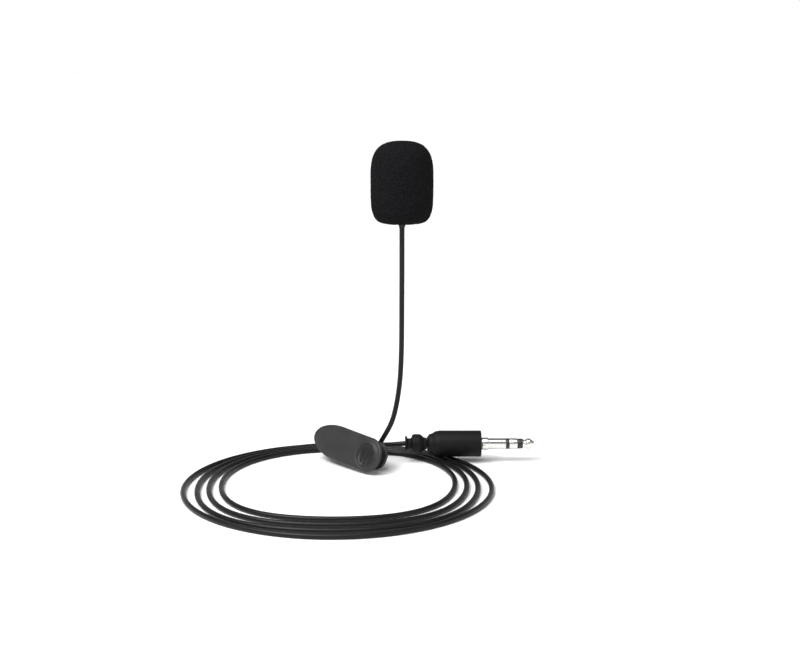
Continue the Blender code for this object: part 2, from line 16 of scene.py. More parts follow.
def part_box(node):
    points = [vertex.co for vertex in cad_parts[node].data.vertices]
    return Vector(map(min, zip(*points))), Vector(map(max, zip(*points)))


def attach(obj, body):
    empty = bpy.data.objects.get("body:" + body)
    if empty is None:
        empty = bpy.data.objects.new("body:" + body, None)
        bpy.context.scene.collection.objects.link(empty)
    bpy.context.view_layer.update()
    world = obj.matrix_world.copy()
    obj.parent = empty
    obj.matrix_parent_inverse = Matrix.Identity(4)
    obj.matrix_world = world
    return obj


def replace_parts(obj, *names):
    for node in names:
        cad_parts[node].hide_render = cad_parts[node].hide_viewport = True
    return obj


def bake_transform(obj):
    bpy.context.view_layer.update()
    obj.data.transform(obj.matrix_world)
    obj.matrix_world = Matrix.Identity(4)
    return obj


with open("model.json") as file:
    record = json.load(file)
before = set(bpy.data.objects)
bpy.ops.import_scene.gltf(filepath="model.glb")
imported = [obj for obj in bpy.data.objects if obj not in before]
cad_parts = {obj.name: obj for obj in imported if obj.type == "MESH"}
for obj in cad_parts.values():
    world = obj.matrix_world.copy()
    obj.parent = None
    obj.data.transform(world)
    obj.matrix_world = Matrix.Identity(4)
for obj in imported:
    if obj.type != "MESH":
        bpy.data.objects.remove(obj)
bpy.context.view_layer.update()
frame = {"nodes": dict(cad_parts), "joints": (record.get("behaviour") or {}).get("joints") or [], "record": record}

MM = 0.001
SCENE = bpy.context.scene


def middle_of(node):
    low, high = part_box(node)
    return (low + high) / 2


# ---------------------------------------------------------------- places, from the frame

COIL_MIDDLE = Vector((*middle_of("cord_coil").xy, 0.0))
HEAD_AXIS = Matrix.Translation((*middle_of("head_barrel").xy, 0.0))
HEAD_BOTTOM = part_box("head_tail_cap")[0].z
FOAM_LOW, FOAM_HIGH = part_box("foam_windscreen")
CORD_EXIT = Vector((*HEAD_AXIS.translation.xy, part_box("head_strain_relief")[0].z))
PLUG_BACK = Vector((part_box("plug_strain_relief")[0].x, *middle_of("plug_body").yz))
PLUG_AXIS = Matrix.Translation(PLUG_BACK) @ Matrix.Rotation(math.pi / 2, 4, "Y")
HINGE = next(j for j in frame["joints"] if j["name"] == "clip_hinge")

# Clip: local X runs from the mouth to the tail, Y along the hinge pin, Z out of the front jaw
CLIP_YAW = math.radians(45.0)
CLIP_DIP = math.radians(4.5)
# The hinge pin, and the thumb recess's middle, radius and depth, in millimetres
HINGE_X = 12.5
DISH_AT = (24.8, -0.6)
DISH_R = 3.7
DISH_DEPTH = 0.9


def clip_matrix():
    """The clip's frame, from its hinge pin and the way that it points."""
    level = math.cos(CLIP_DIP)
    forward = Vector((math.cos(CLIP_YAW) * level, -math.sin(CLIP_YAW) * level, -math.sin(CLIP_DIP)))
    across = Vector(HINGE["axis"]).normalized()
    turn = Matrix((forward, across, forward.cross(across))).transposed().to_4x4()
    return Matrix.Translation(Vector(HINGE["pos_m"]) - forward * (HINGE_X * MM)) @ turn


CLIP_FRAME = clip_matrix()


# ---------------------------------------------------------------- camera and light

CAMERA_LENS = 66.8
CAMERA_FROM_COIL = Vector((18.7, -430.3, 132.4))
CAMERA_DOWN = math.radians(11.07)
LIGHT_TARGET = Vector((0, 0, 0.04))


def make_camera():
    """A little above the coil, looking at it and the head nearly level."""
    camera = bpy.data.objects.new("camera", bpy.data.cameras.new("camera"))
    camera.data.lens = CAMERA_LENS
    camera.data.clip_start, camera.data.clip_end = 0.01, 20.0
    camera.location = COIL_MIDDLE + CAMERA_FROM_COIL * MM
    camera.rotation_euler = (math.pi / 2 - CAMERA_DOWN, 0, 0)
    SCENE.collection.objects.link(camera)
    SCENE.camera = camera


def soft_light(name, at, size, power):
    """A square soft box that faces the microphone."""
    data = bpy.data.lights.new(name, "AREA")
    data.size = size
    data.energy = power
    lamp = bpy.data.objects.new(name, data)
    lamp.location = at
    lamp.rotation_euler = (LIGHT_TARGET - Vector(at)).to_track_quat("-Z", "Y").to_euler()
    SCENE.collection.objects.link(lamp)


def make_surround():
    """White near the floor, so that it shows no edge, and grey higher up."""
    world = bpy.data.worlds.new("surround")
    world.use_nodes = True
    tree = world.node_tree
    place = tree.nodes.new("ShaderNodeTexCoord")
    split = tree.nodes.new("ShaderNodeSeparateXYZ")
    shades = tree.nodes.new("ShaderNodeValToRGB")
    for element, (height, shade) in zip(shades.color_ramp.elements, ((0.09, 1.0), (0.4, 0.22))):
        element.position = height
        element.color = (shade, shade, shade, 1.0)
    tree.links.new(place.outputs["Generated"], split.inputs["Vector"])
    tree.links.new(split.outputs["Z"], shades.inputs["Fac"])
    tree.links.new(shades.outputs["Color"], tree.nodes["Background"].inputs["Color"])
    SCENE.world = world


def soft_sun(strength, towards, spread):
    """Even light over the whole floor, with soft edges to its shadows."""
    data = bpy.data.lights.new("sun", "SUN")
    data.energy = strength
    data.angle = math.radians(spread)
    lamp = bpy.data.objects.new("sun", data)
    lamp.rotation_euler = Vector(towards).to_track_quat("-Z", "Y").to_euler()
    SCENE.collection.objects.link(lamp)


def make_studio():
    """A pale floor that runs into a white surround, with soft light from above."""
    make_surround()
    SCENE.view_settings.view_transform = "Standard"
    soft_sun(3.1, (0.35, 0.35, -1.0), 60)
    soft_light("key", (-0.3, -0.3, 0.5), 0.2, 1.8)
    soft_light("fill", (0.55, -0.3, 0.35), 0.4, 0.5)
    mesh = bpy.data.meshes.new("floor")
    work = bmesh.new()
    bmesh.ops.create_circle(work, cap_ends=True, segments=64, radius=6.0)
    work.to_mesh(mesh)
    work.free()
    floor = bpy.data.objects.new("floor", mesh)
    floor.location.z = -0.02 * MM
    mesh.materials.append(floor_material())
    SCENE.collection.objects.link(floor)


# ---------------------------------------------------------------- material helpers


class Look:
    """A Principled material, with short calls that add its nodes. Texture sizes are in metres."""

    def __init__(self, name, colour, roughness, metallic=0.0, **values):
        self.material = bpy.data.materials.new(name)
        self.material.use_nodes = True
        self.tree = self.material.node_tree
        self.shader = self.tree.nodes["Principled BSDF"]
        self.set("Base Color", (*colour, 1.0))
        self.set("Roughness", roughness)
        self.set("Metallic", metallic)
        for socket, value in values.items():
            self.set(socket.replace("_", " ").title().replace("Ior", "IOR"), value)
        self.place = self.add("ShaderNodeTexCoord").outputs["Object"]

    def set(self, socket, value):
        self.shader.inputs[socket].default_value = value

    def add(self, kind, **settings):
        node = self.tree.nodes.new(kind)
        for key, value in settings.items():
            setattr(node, key, value)
        return node

    def link(self, start, end):
        self.tree.links.new(start, end)

    def stretched(self, scale):
        """Texture places, scaled unevenly for brushed or spun marks."""
        node = self.add("ShaderNodeMapping")
        node.inputs["Scale"].default_value = scale
        self.link(self.place, node.inputs["Vector"])
        return node.outputs["Vector"]

    def noise(self, size, detail=3.0, place=None):
        """Soft random clouds of this size, 0 to 1."""
        node = self.add("ShaderNodeTexNoise")
        node.inputs["Scale"].default_value = 1.0 / size
        node.inputs["Detail"].default_value = detail
        self.link(place or self.place, node.inputs["Vector"])
        return node.outputs["Fac"]

    def cells(self, size, feature="F1"):
        """Distance to the nearest random point of that spacing."""
        node = self.add("ShaderNodeTexVoronoi", feature=feature)
        node.inputs["Scale"].default_value = 1.0 / size
        self.link(self.place, node.inputs["Vector"])
        return node.outputs["Distance"]

    def colours(self, value, *stops):
        """Maps a value to the base colour. Stops are (position, colour)."""
        ramp = self.add("ShaderNodeValToRGB")
        while len(ramp.color_ramp.elements) < len(stops):
            ramp.color_ramp.elements.new(0.5)
        for element, (position, colour) in zip(ramp.color_ramp.elements, stops):
            element.position = position
            element.color = (*colour, 1.0)
        self.link(value, ramp.inputs["Fac"])
        self.link(ramp.outputs["Color"], self.shader.inputs["Base Color"])
        return ramp.outputs["Color"]

    def paint_shade_ball(self, shade, centre, radius, dark):
        """Darkens the base colour in a soft-edged ball: painted shade in a recess."""
        place = self.add("ShaderNodeMapping")
        place.inputs["Location"].default_value = -centre / radius
        place.inputs["Scale"].default_value = (1 / radius,) * 3
        ball = self.add("ShaderNodeTexGradient", gradient_type="SPHERICAL")
        mask = self.add("ShaderNodeMapRange", interpolation_type="SMOOTHSTEP")
        mask.inputs["From Max"].default_value = 0.3
        mix = self.add("ShaderNodeMixRGB")
        mix.inputs["Color2"].default_value = (*dark, 1.0)
        self.link(self.place, place.inputs["Vector"])
        self.link(place.outputs["Vector"], ball.inputs["Vector"])
        self.link(ball.outputs["Fac"], mask.inputs["Value"])
        self.link(mask.outputs["Result"], mix.inputs["Fac"])
        self.link(shade, mix.inputs["Color1"])
        self.link(mix.outputs["Color"], self.shader.inputs["Base Color"])

    def roughness(self, value, low, high):
        node = self.add("ShaderNodeMapRange")
        node.inputs["From Min"].default_value = 0.3
        node.inputs["From Max"].default_value = 0.7
        node.inputs["To Min"].default_value = low
        node.inputs["To Max"].default_value = high
        self.link(value, node.inputs["Value"])
        self.link(node.outputs["Result"], self.shader.inputs["Roughness"])

    def bump(self, height, distance, strength=1.0, under=None):
        """Raises the surface by up to this distance, on top of another bump if one is given."""
        node = self.add("ShaderNodeBump")
        node.inputs["Distance"].default_value = distance
        node.inputs["Strength"].default_value = strength
        self.link(height, node.inputs["Height"])
        if under is not None:
            self.link(under, node.inputs["Normal"])
        self.link(node.outputs["Normal"], self.shader.inputs["Normal"])
        return node.outputs["Normal"]


def grey(value, blue=1.04):
    return (value, value, value * blue)


# ---------------------------------------------------------------- materials


def floor_material():
    look = Look("floor_pale", (0.9, 0.9, 0.9), 0.6, specular_ior_level=0.0)
    look.colours(look.noise(0.15, 2), (0.3, grey(0.88, 1.0)), (0.7, grey(0.91, 1.0)))
    look.roughness(look.noise(0.02), 0.55, 0.7)
    return look.material


def foam_material():
    """Open-cell foam: dark pores between slightly lighter struts, and no gloss."""
    look = Look("foam_charcoal", grey(0.008), 1.0, specular_ior_level=0.06)
    pores = look.cells(0.55 * MM)
    look.colours(pores, (0.15, grey(0.004)), (0.6, grey(0.009, 1.12)))
    soft = look.bump(look.noise(0.22 * MM, 5), 0.12 * MM, 0.8)
    look.bump(look.cells(0.4 * MM), 0.15 * MM, 0.7, soft)
    return look.material


def plastic_material():
    """Satin moulded plastic with a fine grain, lightly rubbed patches, and painted shade in the thumb recess."""
    look = Look("clip_plastic_black", grey(0.022), 0.42, specular_ior_level=0.3)
    patches = look.noise(3.5 * MM, 4)
    shade = look.colours(patches, (0.3, grey(0.018, 1.08)), (0.7, (0.026, 0.0255, 0.025)))
    # Painted shade: the base colour darkens in a soft ball round the thumb recess, where shade falls
    recess = CLIP_FRAME @ (Vector((*DISH_AT, 2.5)) * MM)
    look.paint_shade_ball(shade, recess, (DISH_R + 0.1) * MM, grey(0.010))
    look.roughness(patches, 0.38, 0.5)
    look.bump(look.noise(0.12 * MM, 3), 0.012 * MM, 0.6)
    return look.material


def cord_material():
    """Soft PVC sheath with a faint orange-peel surface and dull and polished lengths."""
    look = Look("cord_pvc_black", grey(0.006), 0.36, specular_ior_level=0.22)
    patches = look.noise(6 * MM, 3)
    look.colours(patches, (0.3, grey(0.0045, 1.08)), (0.7, grey(0.008)))
    look.roughness(patches, 0.32, 0.46)
    look.bump(look.noise(0.35 * MM, 2), 0.015 * MM, 0.5)
    return look.material


def moulding_material():
    """The plug's matte flexible moulding."""
    look = Look("plug_moulding_black", grey(0.006), 0.55, specular_ior_level=0.14)
    patches = look.noise(2.5 * MM, 4)
    look.colours(patches, (0.3, grey(0.005)), (0.7, grey(0.0075)))
    look.roughness(patches, 0.48, 0.62)
    look.bump(look.noise(0.1 * MM, 3), 0.012 * MM, 0.7)
    return look.material


def rubber_material():
    look = Look("rubber_black", grey(0.013), 0.65, specular_ior_level=0.3)
    look.colours(look.noise(1.5 * MM), (0.3, grey(0.011)), (0.7, grey(0.016)))
    look.roughness(look.noise(0.8 * MM), 0.58, 0.75)
    look.bump(look.noise(0.15 * MM), 0.01 * MM, 0.6)
    return look.material


def coated_metal_material():
    """Thin satin black coating on turned brass, with faint tool rings round the head's axis."""
    look = Look("black_coated_metal", grey(0.02), 0.4, 0.5)
    rings = look.noise(0.4 * MM, 2, look.stretched((0.05, 0.05, 6.0)))
    look.colours(look.noise(2 * MM), (0.3, grey(0.018)), (0.7, grey(0.026)))
    look.roughness(rings, 0.32, 0.46)
    look.bump(rings, 0.006 * MM, 0.5)
    return look.material


def steel_material():
    look = Look("steel_bright", grey(0.55, 1.0), 0.3, 1.0)
    look.colours(look.noise(0.8 * MM, 4), (0.3, grey(0.48, 1.0)), (0.7, grey(0.6, 1.0)))
    look.roughness(look.noise(0.3 * MM), 0.22, 0.38)
    return look.material


def nickel_material():
    """Bright nickel plating over turned brass, with faint turning rings along the pin."""
    look = Look("nickel_bright", (0.78, 0.77, 0.75), 0.16, 1.0)
    rings = look.noise(0.5 * MM, 2, look.stretched((6.0, 0.05, 0.05)))
    look.colours(look.noise(1.2 * MM), (0.3, (0.74, 0.73, 0.70)), (0.7, (0.82, 0.81, 0.79)))
    look.roughness(rings, 0.12, 0.22)
    look.bump(rings, 0.004 * MM, 0.4)
    return look.material


def insulator_material():
    look = Look("insulator_black", grey(0.01), 0.3)
    look.colours(look.noise(0.6 * MM), (0.3, grey(0.008)), (0.7, grey(0.013)))
    look.roughness(look.noise(0.3 * MM), 0.24, 0.36)
    return look.material


def aluminium_material():
    look = Look("aluminium_can", grey(0.75, 1.01), 0.35, 1.0)
    drawn = look.noise(0.3 * MM, 3, look.stretched((3.0, 3.0, 0.15)))
    look.colours(drawn, (0.3, grey(0.68, 1.01)), (0.7, grey(0.8, 1.01)))
    look.roughness(drawn, 0.3, 0.42)
    look.bump(drawn, 0.004 * MM, 0.5)
    return look.material


def felt_material():
    look = Look("felt_black", grey(0.02, 1.0), 1.0, specular_ior_level=0.1, sheen_weight=0.3)
    fibres = look.noise(0.1 * MM, 5, look.stretched((1.0, 3.0, 1.0)))
    look.colours(fibres, (0.3, grey(0.012, 1.0)), (0.7, grey(0.03, 1.0)))
    look.bump(fibres, 0.08 * MM)
    return look.material


def film_material():
    look = Look("film_gold", (0.8, 0.6, 0.25), 0.25, 1.0)
    look.colours(look.noise(0.5 * MM), (0.3, (0.72, 0.52, 0.2)), (0.7, (0.85, 0.66, 0.3)))
    look.roughness(look.noise(0.2 * MM), 0.2, 0.32)
    return look.material


def board_material():
    """Green solder mask over copper tracks."""
    look = Look("board_green", (0.02, 0.15, 0.06), 0.45)
    tracks = look.cells(0.5 * MM, "DISTANCE_TO_EDGE")
    look.colours(tracks, (0.05, (0.03, 0.2, 0.08)), (0.12, (0.015, 0.11, 0.045)))
    look.roughness(look.noise(0.3 * MM), 0.38, 0.5)
    look.bump(tracks, 0.02 * MM, 0.6)
    return look.material


def chip_material():
    look = Look("chip_black", grey(0.01, 1.0), 0.45)
    look.colours(look.noise(0.08 * MM, 4), (0.3, grey(0.008, 1.0)), (0.7, grey(0.02, 1.0)))
    look.bump(look.noise(0.06 * MM), 0.006 * MM)
    return look.material


def red_wire_material():
    look = Look("wire_red", (0.5, 0.02, 0.02), 0.45)
    look.colours(look.noise(0.5 * MM), (0.3, (0.42, 0.015, 0.015)), (0.7, (0.55, 0.03, 0.025)))
    look.roughness(look.noise(0.3 * MM), 0.38, 0.52)
    return look.material


def copper_material():
    look = Look("wire_copper", (0.72, 0.4, 0.22), 0.35, 1.0)
    strands = look.noise(0.08 * MM, 2, look.stretched((1.0, 3.0, 0.4)))
    look.colours(strands, (0.3, (0.6, 0.3, 0.15)), (0.7, (0.8, 0.48, 0.28)))
    look.bump(strands, 0.03 * MM)
    return look.material


MATERIALS = {
    "foam": foam_material(),
    "black_metal": coated_metal_material(),
    "steel": steel_material(),
    "aluminium_can": aluminium_material(),
    "felt": felt_material(),
    "metallised_film": film_material(),
    "board": board_material(),
    "chip": chip_material(),
    "rubber": rubber_material(),
    "clip_plastic": plastic_material(),
    "cord_pvc": cord_material(),
    "plug_moulding": moulding_material(),
    "nickel": nickel_material(),
    "insulator": insulator_material(),
    "wire_red": red_wire_material(),
    "wire_copper": copper_material(),
}


# ---------------------------------------------------------------- shape helpers

CORNER_POINTS = 5
MOST_OF_SIDE = 0.45  # how much of a side a softened corner may take
ROUTE_STEPS = 16


def piece(name, mesh, slot, body, *nodes, sharp=None):
    """Shows a mesh as a piece of this material slot that rides on a body and replaces CAD nodes."""
    obj = bpy.data.objects.new(name, mesh)
    SCENE.collection.objects.link(obj)
    mesh.materials.clear()
    mesh.materials.append(MATERIALS[slot])
    mesh.shade_smooth()
    if sharp is not None:
        mesh.set_sharp_from_angle(angle=math.radians(sharp))
    if body:
        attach(obj, body)
    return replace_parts(obj, *nodes)


def ring_mesh(name, rings, matrix):
    """A closed mesh through rings of points. A ring of one point is a pole, and if the first and
    last rings aren't poles, they join each other."""
    work = bmesh.new()
    made = [[work.verts.new(p) for p in ring] for ring in rings]
    pairs = list(zip(made, made[1:]))
    if len(made[0]) > 1:
        pairs.append((made[-1], made[0]))
    for upper, lower in pairs:
        count = max(len(upper), len(lower))
        for i in range(count):
            j = (i + 1) % count
            corners = [upper[i % len(upper)], upper[j % len(upper)]]
            corners += [lower[j % len(lower)], lower[i % len(lower)]]
            work.faces.new(list(dict.fromkeys(corners)))
    bmesh.ops.recalc_face_normals(work, faces=work.faces)
    mesh = bpy.data.meshes.new(name)
    work.to_mesh(mesh)
    work.free()
    mesh.transform(matrix)
    return mesh


def softened(profile, radius):
    """The profile with each of its corners turned into a small curve. A profile that starts on the
    axis keeps its two ends, and any other is a closed loop."""
    points = [Vector(p) for p in profile]
    kept = 0 if points[0].x > 0 else 1
    found = points[:kept]
    for i in range(kept, len(points) - kept):
        before, corner, after = points[i - 1], points[i], points[(i + 1) % len(points)]
        start, end = before - corner, after - corner
        start *= min(radius / start.length, MOST_OF_SIDE)
        end *= min(radius / end.length, MOST_OF_SIDE)
        for t in np.linspace(0, 1, CORNER_POINTS):
            found.append(corner + start * (1 - t) ** 2 + end * t * t)
    return found + points[len(points) - kept:]


def turned(name, profile, matrix, steps=96, round_by=0.0):
    """A solid turned round local Z. The profile is (radius, height) in millimetres."""
    if round_by:
        profile = softened(profile, round_by)
    rings = []
    for radius, height in profile:
        if radius < 1e-6:
            rings.append([Vector((0, 0, height)) * MM])
            continue
        ring = []
        for i in range(steps):
            angle = math.tau * i / steps
            ring.append(Vector((radius * math.cos(angle), radius * math.sin(angle), height)) * MM)
        rings.append(ring)
    return ring_mesh(name, rings, matrix)


def along(pairs):
    """Turns a profile's (distance along the axis, radius) into (radius, height), from its far end."""
    return [(r, s) for s, r in reversed(pairs)]


def smooth_route(points, spacing):
    """Evenly spaced points on the Catmull-Rom curve through a route's points."""
    ends = [points[0] * 2 - points[1], *points, points[-1] * 2 - points[-2]]
    fine = []
    for a, b, c, d in zip(ends, ends[1:], ends[2:], ends[3:]):
        for i in range(ROUTE_STEPS):
            t = i / ROUTE_STEPS
            fine.append(0.5 * (2 * b + (c - a) * t + (2 * a - 5 * b + 4 * c - d) * t * t
                               + (3 * b - a - 3 * c + d) * t * t * t))
    fine.append(points[-1])
    run = np.concatenate([[0.0], np.cumsum([(b - a).length for a, b in zip(fine, fine[1:])])])
    wanted = np.linspace(0.0, run[-1], max(2, round(run[-1] / spacing)) + 1)
    columns = [np.interp(wanted, run, [p[k] for p in fine]) for k in range(3)]
    return [Vector(p) for p in zip(*columns)]


def wire(name, points, radius, smoothness):
    """A round wire along these points, as a curve object."""
    curve = bpy.data.curves.new(name, "CURVE")
    curve.dimensions = "3D"
    curve.bevel_depth = radius
    curve.bevel_resolution = smoothness
    curve.use_fill_caps = True
    spline = curve.splines.new("POLY")
    spline.points.add(len(points) - 1)
    for point, co in zip(spline.points, points):
        point.co = (*co, 1.0)
    spline.use_smooth = True
    obj = bpy.data.objects.new(name, curve)
    SCENE.collection.objects.link(obj)
    return obj


def mesh_of(obj):
    """An object's evaluated mesh, with its caps welded. The object is removed."""
    graph = bpy.context.evaluated_depsgraph_get()
    graph.update()
    mesh = bpy.data.meshes.new_from_object(obj.evaluated_get(graph))
    work = bmesh.new()
    work.from_mesh(mesh)
    bmesh.ops.remove_doubles(work, verts=work.verts, dist=0.0005 * MM)
    work.to_mesh(mesh)
    work.free()
    name = obj.name
    bpy.data.objects.remove(obj, do_unlink=True)
    mesh.name = name
    return mesh


def in_clip(work, at, turn):
    """A mesh object in the clip's frame from a bmesh in millimetres."""
    mesh = bpy.data.meshes.new("shape")
    work.to_mesh(mesh)
    work.free()
    mesh.transform(CLIP_FRAME @ Matrix.Scale(MM, 4) @ Matrix.Translation(at) @ turn)
    obj = bpy.data.objects.new("shape", mesh)
    SCENE.collection.objects.link(obj)
    return obj


def block(size, at, turn, rounding=0.0):
    """A box in millimetres, turned round Z, with rounded edges if a rounding is given."""
    work = bmesh.new()
    bmesh.ops.create_cube(work, size=1.0)
    bmesh.ops.scale(work, vec=size, verts=work.verts)
    if rounding:
        bmesh.ops.bevel(work, geom=work.edges, offset=rounding, segments=4, profile=0.5, affect="EDGES")
    return in_clip(work, at, Matrix.Rotation(turn, 4, "Z"))


def prism(outline, thickness, at, rounding):
    """A plate with an outline in local XZ, its thickness along Y and rounded edges, in millimetres."""
    work = bmesh.new()
    near = [work.verts.new((x, -thickness / 2, z)) for x, z in outline]
    far = [work.verts.new((x, thickness / 2, z)) for x, z in outline]
    work.faces.new(near)
    work.faces.new(far[::-1])
    for i in range(len(outline)):
        j = (i + 1) % len(outline)
        work.faces.new([near[i], far[i], far[j], near[j]])
    bmesh.ops.recalc_face_normals(work, faces=work.faces)
    edges = [e for e in work.edges if e.calc_face_angle(0) > math.radians(35)]
    bmesh.ops.bevel(work, geom=edges, offset=rounding, segments=2, profile=0.5, affect="EDGES")
    return in_clip(work, at, Matrix())


def cylinder(radius, length, at, turn):
    """A round bar in millimetres, along Z before its turn."""
    work = bmesh.new()
    bmesh.ops.create_cone(work, cap_ends=True, segments=32, radius1=radius, radius2=radius, depth=length)
    return in_clip(work, at, turn)


def combined(mesh, *steps):
    """The mesh after Booleans with other objects, which are removed."""
    obj = bpy.data.objects.new("base", mesh)
    SCENE.collection.objects.link(obj)
    for operation, other in steps:
        modifier = obj.modifiers.new(operation.lower(), "BOOLEAN")
        modifier.operation = operation
        modifier.object = other
    graph = bpy.context.evaluated_depsgraph_get()
    graph.update()
    name = mesh.name
    made = bpy.data.meshes.new_from_object(obj.evaluated_get(graph))
    made.name = name
    for old in (obj, *(other for _, other in steps)):
        bpy.data.objects.remove(old, do_unlink=True)
    return made


# ---------------------------------------------------------------- cord

CORD_R = 0.8 * MM
# The coil's turns from the inside out: half width, half depth, how far back its middle is, and how
# much fuller than an ellipse its front is
TURNS = (
    (35.4, 36.33, 5.03, 0.2),
    (38.9, 39.72, 3.32, 0.2),
    (42.2, 43.06, 1.66, 0.17),
    (46.3, 46.35, 0.05, 0.0),
)
BACK_FULLER = 0.3  # the same for the back, as a share of the front's
COIL_FROM, COIL_TO = math.radians(58), math.radians(106)  # where the coil starts and ends
STEP_FROM, STEP_TO = math.radians(100), math.radians(62)  # where each turn steps outwards
POINTS_PER_TURN = 30
# The rest of the cord's route, in millimetres from the coil's middle
HEAD_LEAD = ((19.3, 21.0, 64.0), (19.25, 21.0, 52.0), (19.2, 21.0, 42.0), (19.0, 21.1, 34.0),
             (18.5, 21.3, 27.0), (17.5, 21.7, 20.4), (16.0, 22.3, 14.8), (13.45, 23.65, 9.6))
BEHIND_CLIP = ((5.6, 28.4, 1.35), (3.9, 31.3, 0.85), (4.6, 34.6, 0.85), (7.6, 37.0, 0.85), (12.0, 37.9, 0.8))
OVER_COIL = ((-8.3, 45.65, 0.95), (-4.0, 45.9, 1.6), (0.0, 45.0, 2.6), (3.5, 43.3, 2.7), (7.5, 40.4, 3.0),
             (11.5, 36.2, 3.8), (15.6, 31.6, 5.1))
KEEPER_AT = Vector((18.9, 0.4, -5.25))  # the clip's cord keeper, in the clip's frame
KEEPER_TURN = math.radians(50.0)
KEEPER_LENGTH = 5.4


def turn_shape(level):
    """The shape of the coil at a level between two of its turns."""
    low = min(int(level), len(TURNS) - 2)
    return [a + (b - a) * (level - low) for a, b in zip(TURNS[low], TURNS[low + 1])]


def eased(share):
    """A share from 0 to 1, held to that range, with a soft start and end."""
    share = min(max(share, 0.0), 1.0)
    return share * share * (3 - 2 * share)


def coil_points():
    """The coil runs clockwise from the inside out, and each turn steps outwards behind the clip."""
    whole = COIL_FROM + math.tau * len(TURNS) - COIL_TO
    count = POINTS_PER_TURN * len(TURNS)
    points = []
    for i in range(count + 1):
        angle = COIL_FROM - whole * i / count
        level = 0.0
        for k in range(1, len(TURNS)):
            level += eased((STEP_FROM - math.tau * k - angle) / (STEP_FROM - STEP_TO))
        wide, deep, back, fuller = turn_shape(level)
        across, depth = math.cos(angle), math.sin(angle)
        depth += fuller * depth * across**2 * (1.0 if depth < 0 else BACK_FULLER)
        points.append(Vector((wide * across, back + deep * depth, CORD_R / MM)))
    return points


def by_coil(points):
    """Places given in millimetres from the coil's middle."""
    return [COIL_MIDDLE + Vector(p) * MM for p in points]


def cord_route():
    """From inside the head's strain relief to inside the plug's."""
    reach = Vector((math.cos(KEEPER_TURN), math.sin(KEEPER_TURN), 0)) * (KEEPER_LENGTH / 2 + 0.4)
    keeper = [CLIP_FRAME @ ((KEEPER_AT + reach * side) * MM) for side in (1, 0, -1)]
    route = [CORD_EXIT + Vector((0, 0, 1.0)) * MM, *by_coil(HEAD_LEAD), *keeper, *by_coil(BEHIND_CLIP)]
    route += [*by_coil(coil_points()), *by_coil(OVER_COIL)]
    return route + [PLUG_BACK + Vector((inside, 0, 0)) * MM for inside in (-0.3, 1.0)]


def make_cord():
    """The whole cord as one tube, with its length."""
    points = smooth_route(cord_route(), 0.8 * MM)
    cord = wire("cord", points, CORD_R, 6)
    cord.data.materials.append(MATERIALS["cord_pvc"])
    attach(cord, "root")
    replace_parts(cord, "cord_head_lead", "cord_coil", "cord_plug_lead")
    length = sum((b - a).length for a, b in zip(points, points[1:]))
    return cord, length


# ---------------------------------------------------------------- windscreen

FOAM_WIDEST = 90.0  # height of its widest place
FOAM_FOOT_R = 5.0
FOAM_BORE = 4.1
BORE_DEPTH = 17.3  # from the head's bottom
FOAM_STEPS = 70
FOAM_SKIN = 0.12 * MM  # how far out the surface moves before its pores go in
PORES = ((0.95 * MM, 0.2 * MM), (0.5 * MM, 0.1 * MM))  # spacing and depth of the open cells
PORE_WALL = 0.35  # the share of a cell that slopes
LUMPS = 4 * MM


def foam_profile():
    """Round shoulders above the widest place, a squarer foot, and the bore for the head."""
    radius, low, high = (FOAM_HIGH.x - FOAM_LOW.x) / 2 / MM, FOAM_LOW.z / MM, FOAM_HIGH.z / MM
    points = [(0.0, high)]
    for i in range(1, FOAM_STEPS + 1):
        share = math.sin(math.pi / 2 * (1 - i / FOAM_STEPS))
        points.append((radius * (1 - share**3.6) ** 0.36, FOAM_WIDEST + (high - FOAM_WIDEST) * share))
    for i in range(1, FOAM_STEPS + 1):
        share = math.sin(math.pi / 2 * i / FOAM_STEPS)
        foot = FOAM_FOOT_R + (radius - FOAM_FOOT_R) * (1 - share**4) ** 0.38
        points.append((foot, FOAM_WIDEST - (FOAM_WIDEST - low) * share))
    mouth, top = low + 0.4, HEAD_BOTTOM / MM + BORE_DEPTH
    return points + [(FOAM_BORE + 0.3, low + 0.05), (FOAM_BORE, mouth), (FOAM_BORE, top), (0.0, top)]


def evenly(profile, spacing):
    """A profile's points, spaced evenly along it."""
    points = np.array(profile)
    run = np.concatenate([[0.0], np.cumsum(np.linalg.norm(np.diff(points, axis=0), axis=1))])
    wanted = np.linspace(0.0, run[-1], round(run[-1] / spacing) + 1)
    return list(zip(np.interp(wanted, run, points[:, 0]), np.interp(wanted, run, points[:, 1])))


def pore_depth(place):
    """How far the foam's surface lies under its outer skin, from open cells of two sizes."""
    depth = 0.0
    for size, deep in PORES:
        nearest = noise.voronoi(place / size)[0]
        depth += deep * eased((nearest[1] - nearest[0]) / PORE_WALL)
    return depth + 0.06 * MM * (0.5 + 0.5 * noise.noise(place / LUMPS))


def make_windscreen():
    """The foam, with its surface pushed in at each pore."""
    mesh = turned("windscreen_foam", evenly(foam_profile(), 0.22), HEAD_AXIS, steps=288)
    normals = [v.normal.copy() for v in mesh.vertices]
    for vertex, normal in zip(mesh.vertices, normals):
        vertex.co = vertex.co + normal * (FOAM_SKIN - pore_depth(vertex.co))
    foam = piece("windscreen_foam", mesh, "foam", "windscreen", "foam_windscreen")


# ---------------------------------------------------------------- head

BARREL_R = 3.8
SPIGOT_R = 3.1  # of the grille and the cap, inside the barrel


def head_profile(pairs):
    """Turns heights above the head's bottom into heights above the floor."""
    return [(r, HEAD_BOTTOM / MM + h) for r, h in pairs]


def make_barrel():
    """The thin tube round the capsule."""
    profile = head_profile([(BARREL_R, 15.6), (BARREL_R, 1.7), (3.3, 1.7), (3.3, 15.6)])
    mesh = turned("head_barrel_shell", profile, HEAD_AXIS, round_by=0.15)
    piece("head_barrel_shell", mesh, "black_metal", "root", "head_barrel", sharp=40)


